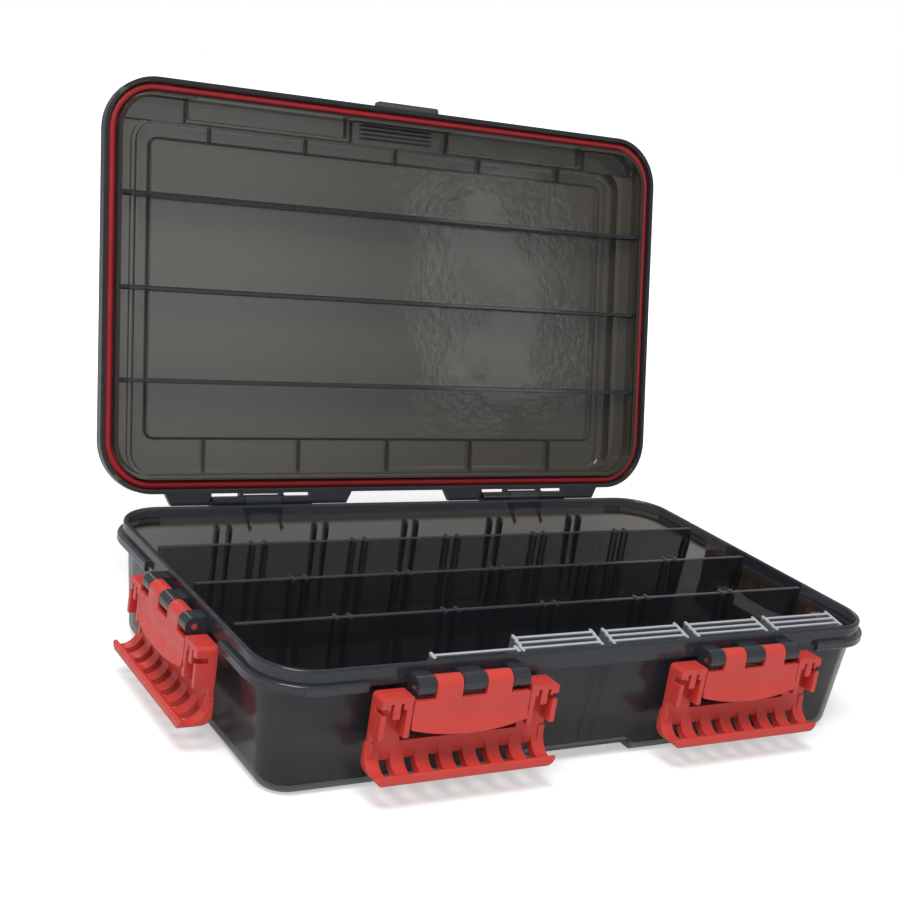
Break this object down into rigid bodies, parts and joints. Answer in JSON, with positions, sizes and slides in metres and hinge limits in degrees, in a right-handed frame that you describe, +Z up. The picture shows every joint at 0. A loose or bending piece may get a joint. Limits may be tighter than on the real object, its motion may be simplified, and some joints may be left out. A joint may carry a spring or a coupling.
{
  "type": "tackle box",
  "caption": "Shallow waterproof tackle box with a gasketed hinged lid, two-piece draw latches, and removable long and cross dividers.",
  "frame": {"origin": "centre of the tray's resting face", "axes": "+X to the right along the length, +Y towards the hinges, +Z up"},
  "size_m": [0.3602, 0.2864, 0.2673],
  "materials": {
    "tray_plastic": "smoky translucent, glossy",
    "lid_plastic": "smoky translucent, glossy",
    "gasket_rubber": "satin dark red",
    "latch_plastic": "semi-matte coral red",
    "hinge_steel": "bare metal",
    "latch_steel": "bare metal",
    "divider_plastic": "smoky translucent, glossy",
    "cross_plastic": "smoky translucent, glossy"
  },
  "bodies": {
    "tray": {"base_tray": "tray_plastic", "hinge_pin_left": "hinge_steel", "hinge_pin_right": "hinge_steel", "latch_pin_front_left": "latch_steel", "latch_pin_front_right": "latch_steel", "latch_pin_left_side": "latch_steel", "latch_pin_right_side": "latch_steel"},
    "lid": {"lid_shell": "lid_plastic", "lid_gasket": "gasket_rubber"},
    "handle_front_left": {"latch_handle_front_left": "latch_plastic"},
    "hook_front_left": {"latch_hook_front_left": "latch_plastic"},
    "handle_front_right": {"latch_handle_front_right": "latch_plastic"},
    "hook_front_right": {"latch_hook_front_right": "latch_plastic"},
    "handle_left_side": {"latch_handle_left_side": "latch_plastic"},
    "hook_left_side": {"latch_hook_left_side": "latch_plastic"},
    "handle_right_side": {"latch_handle_right_side": "latch_plastic"},
    "hook_right_side": {"latch_hook_right_side": "latch_plastic"},
    "long_divider_front": {"long_divider_front": "divider_plastic"},
    "long_divider_middle": {"long_divider_middle": "divider_plastic"},
    "long_divider_rear": {"long_divider_rear": "divider_plastic"},
    "cross_divider_01": {"cross_divider_01": "cross_plastic"},
    "cross_divider_02": {"cross_divider_02": "cross_plastic"},
    "cross_divider_03": {"cross_divider_03": "cross_plastic"},
    "cross_divider_04": {"cross_divider_04": "cross_plastic"},
    "cross_divider_05": {"cross_divider_05": "cross_plastic"},
    "cross_divider_06": {"cross_divider_06": "cross_plastic"},
    "cross_divider_07": {"cross_divider_07": "cross_plastic"},
    "cross_divider_08": {"cross_divider_08": "cross_plastic"},
    "cross_divider_09": {"cross_divider_09": "cross_plastic"},
    "cross_divider_10": {"cross_divider_10": "cross_plastic"},
    "cross_divider_11": {"cross_divider_11": "cross_plastic"},
    "cross_divider_12": {"cross_divider_12": "cross_plastic"},
    "cross_divider_13": {"cross_divider_13": "cross_plastic"}
  },
  "joints": [
    {"name": "lid_hinge", "type": "hinge", "parent": "tray", "child": "lid", "pos_m": [0, 0.108, 0.059], "axis": [1, 0, 0], "range_deg": [0, 103.6]},
    {"name": "handle_front_left", "type": "hinge", "parent": "tray", "child": "handle_front_left", "pos_m": [-0.0768, -0.1058, 0.0525], "axis": [1, 0, 0], "range_deg": [-150, 0]},
    {"name": "hook_front_left", "type": "hinge", "parent": "handle_front_left", "child": "hook_front_left", "pos_m": [-0.0768, -0.1062, 0.0436], "axis": [-1, 0, 0], "range_deg": [0, 180]},
    {"name": "handle_front_right", "type": "hinge", "parent": "tray", "child": "handle_front_right", "pos_m": [0.0768, -0.1058, 0.0525], "axis": [1, 0, 0], "range_deg": [-150, 0]},
    {"name": "hook_front_right", "type": "hinge", "parent": "handle_front_right", "child": "hook_front_right", "pos_m": [0.0768, -0.1062, 0.0436], "axis": [-1, 0, 0], "range_deg": [0, 180]},
    {"name": "handle_left_side", "type": "hinge", "parent": "tray", "child": "handle_left_side", "pos_m": [-0.1711, -0.006, 0.0525], "axis": [0, -1, 0], "range_deg": [-150, 0]},
    {"name": "hook_left_side", "type": "hinge", "parent": "handle_left_side", "child": "hook_left_side", "pos_m": [-0.1715, -0.006, 0.0436], "axis": [0, 1, 0], "range_deg": [0, 180]},
    {"name": "handle_right_side", "type": "hinge", "parent": "tray", "child": "handle_right_side", "pos_m": [0.1711, -0.006, 0.0525], "axis": [0, 1, 0], "range_deg": [-150, 0]},
    {"name": "hook_right_side", "type": "hinge", "parent": "handle_right_side", "child": "hook_right_side", "pos_m": [0.1715, -0.006, 0.0436], "axis": [0, -1, 0], "range_deg": [0, 180]},
    {"name": "lift_long_front", "type": "slide", "parent": "tray", "child": "long_divider_front", "axis": [0, 0, -1], "range_m": [-0.06, 0]},
    {"name": "lift_long_middle", "type": "slide", "parent": "tray", "child": "long_divider_middle", "axis": [0, 0, -1], "range_m": [-0.06, 0]},
    {"name": "lift_long_rear", "type": "slide", "parent": "tray", "child": "long_divider_rear", "axis": [0, 0, -1], "range_m": [-0.06, 0]},
    {"name": "lift_cross_divider_01", "type": "slide", "parent": "tray", "child": "cross_divider_01", "axis": [0, 0.1736, -0.9848], "range_m": [-0.06, 0]},
    {"name": "lift_cross_divider_02", "type": "slide", "parent": "tray", "child": "cross_divider_02", "axis": [0, 0.1736, -0.9848], "range_m": [-0.06, 0]},
    {"name": "lift_cross_divider_03", "type": "slide", "parent": "tray", "child": "cross_divider_03", "axis": [0, 0.1736, -0.9848], "range_m": [-0.06, 0]},
    {"name": "lift_cross_divider_04", "type": "slide", "parent": "tray", "child": "cross_divider_04", "axis": [0, 0.1736, -0.9848], "range_m": [-0.06, 0]},
    {"name": "lift_cross_divider_05", "type": "slide", "parent": "tray", "child": "cross_divider_05", "axis": [0, 0.1736, -0.9848], "range_m": [-0.06, 0]},
    {"name": "lift_cross_divider_06", "type": "slide", "parent": "tray", "child": "cross_divider_06", "axis": [0, 0.1736, -0.9848], "range_m": [-0.06, 0]},
    {"name": "lift_cross_divider_07", "type": "slide", "parent": "tray", "child": "cross_divider_07", "axis": [0, 0.1736, -0.9848], "range_m": [-0.06, 0]},
    {"name": "lift_cross_divider_08", "type": "slide", "parent": "tray", "child": "cross_divider_08", "axis": [0, 0.1736, -0.9848], "range_m": [-0.06, 0]},
    {"name": "lift_cross_divider_09", "type": "slide", "parent": "tray", "child": "cross_divider_09", "axis": [0, 0.1736, -0.9848], "range_m": [-0.06, 0]},
    {"name": "lift_cross_divider_10", "type": "slide", "parent": "tray", "child": "cross_divider_10", "axis": [0, 0.1736, -0.9848], "range_m": [-0.06, 0]},
    {"name": "lift_cross_divider_11", "type": "slide", "parent": "tray", "child": "cross_divider_11", "axis": [0, 0.1736, -0.9848], "range_m": [-0.06, 0]},
    {"name": "lift_cross_divider_12", "type": "slide", "parent": "tray", "child": "cross_divider_12", "axis": [0, 0.1736, -0.9848], "range_m": [-0.06, 0]},
    {"name": "lift_cross_divider_13", "type": "slide", "parent": "tray", "child": "cross_divider_13", "axis": [0, 0.1736, -0.9848], "range_m": [-0.06, 0]}
  ]
}
